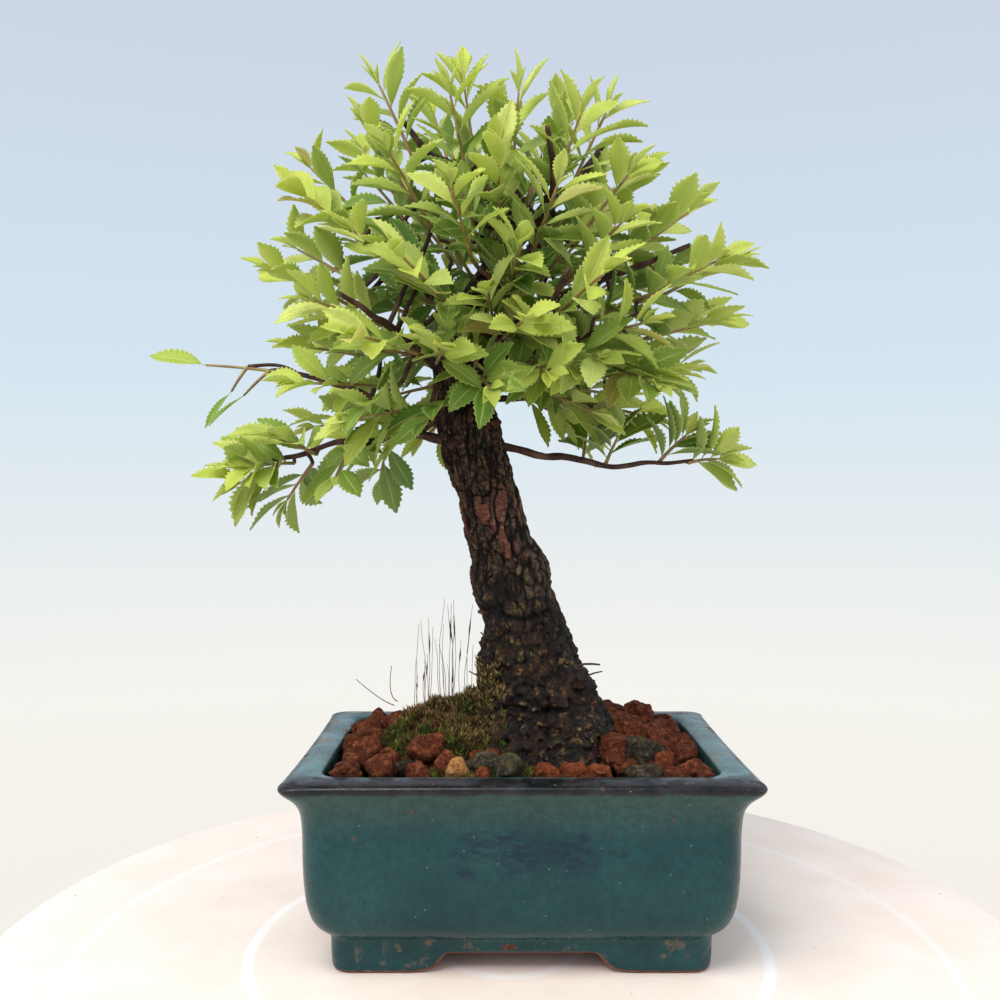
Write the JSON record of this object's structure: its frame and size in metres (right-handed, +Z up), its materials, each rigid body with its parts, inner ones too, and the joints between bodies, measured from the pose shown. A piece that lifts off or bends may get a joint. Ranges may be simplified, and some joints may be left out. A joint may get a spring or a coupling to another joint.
{
  "type": "bonsai tree in a pot",
  "caption": "Small broadleaf bonsai with a tapering, leaning trunk and rounded crown, growing in lava gravel and moss in a shallow glazed rectangular pot on cut feet.",
  "frame": {"origin": "below the middle of the whole object, on the plane the feet stand on", "axes": "+Z up along the tree's height; +X along the pot's long side, towards the side the trunk leans away from; -Y is the viewed long side of the pot"},
  "size_m": [0.2336, 0.1568, 0.3112],
  "materials": {
    "teal_glaze": "glossy mottled blue-green glaze, dark brown where it breaks on the edges",
    "net_plastic": "black moulded net",
    "wire_metal": "brown anodised soft wire",
    "potting_soil": "granular dark substrate",
    "lava_gravel": "rough red-brown pitted lava",
    "tan_stone": "rough tan stone",
    "mossy_stone": "grey stone with a green film",
    "moss_green": "soft living moss with brown tips",
    "dry_stalk": "thin dry stalks",
    "elm_bark": "rough flaking bark",
    "elm_leaf": "thin satin leaves"
  },
  "bodies": {
    "root": {"pot": "teal_glaze", "drain_mesh_left": "net_plastic", "drain_mesh_right": "net_plastic", "mesh_staple_left": "wire_metal", "mesh_staple_right": "wire_metal", "soil": "potting_soil", "gravel_layer": "lava_gravel", "moss_mound": "moss_green", "moss_front": "moss_green", "dry_stalks": "dry_stalk", "trunk": "elm_bark", "tan_stone": "tan_stone", "mossy_stone_1": "mossy_stone", "mossy_stone_2": "mossy_stone", "lava_lump_01": "lava_gravel", "lava_lump_02": "lava_gravel", "lava_lump_03": "lava_gravel", "lava_lump_04": "lava_gravel", "lava_lump_05": "lava_gravel", "lava_lump_06": "lava_gravel", "lava_lump_07": "lava_gravel", "lava_lump_08": "lava_gravel", "lava_lump_09": "lava_gravel", "lava_lump_10": "lava_gravel", "lava_lump_11": "lava_gravel", "lava_lump_12": "lava_gravel", "leaf_spray_01": "elm_leaf", "leaf_spray_02": "elm_leaf", "leaf_spray_03": "elm_leaf", "leaf_spray_04": "elm_leaf", "leaf_spray_05": "elm_leaf", "leaf_spray_06": "elm_leaf", "leaf_spray_07": "elm_leaf", "leaf_spray_08": "elm_leaf", "leaf_spray_09": "elm_leaf", "leaf_spray_10": "elm_leaf", "leaf_spray_11": "elm_leaf", "leaf_spray_12": "elm_leaf", "leaf_spray_13": "elm_leaf", "leaf_spray_14": "elm_leaf", "leaf_spray_15": "elm_leaf", "leaf_spray_16": "elm_leaf", "leaf_spray_17": "elm_leaf", "leaf_spray_18": "elm_leaf", "leaf_spray_19": "elm_leaf", "leaf_spray_20": "elm_leaf", "leaf_spray_21": "elm_leaf", "leaf_spray_22": "elm_leaf", "leaf_spray_23": "elm_leaf", "leaf_spray_24": "elm_leaf", "leaf_spray_25": "elm_leaf", "leaf_spray_26": "elm_leaf", "leaf_spray_27": "elm_leaf", "leaf_spray_28": "elm_leaf"}
  },
  "joints": []
}
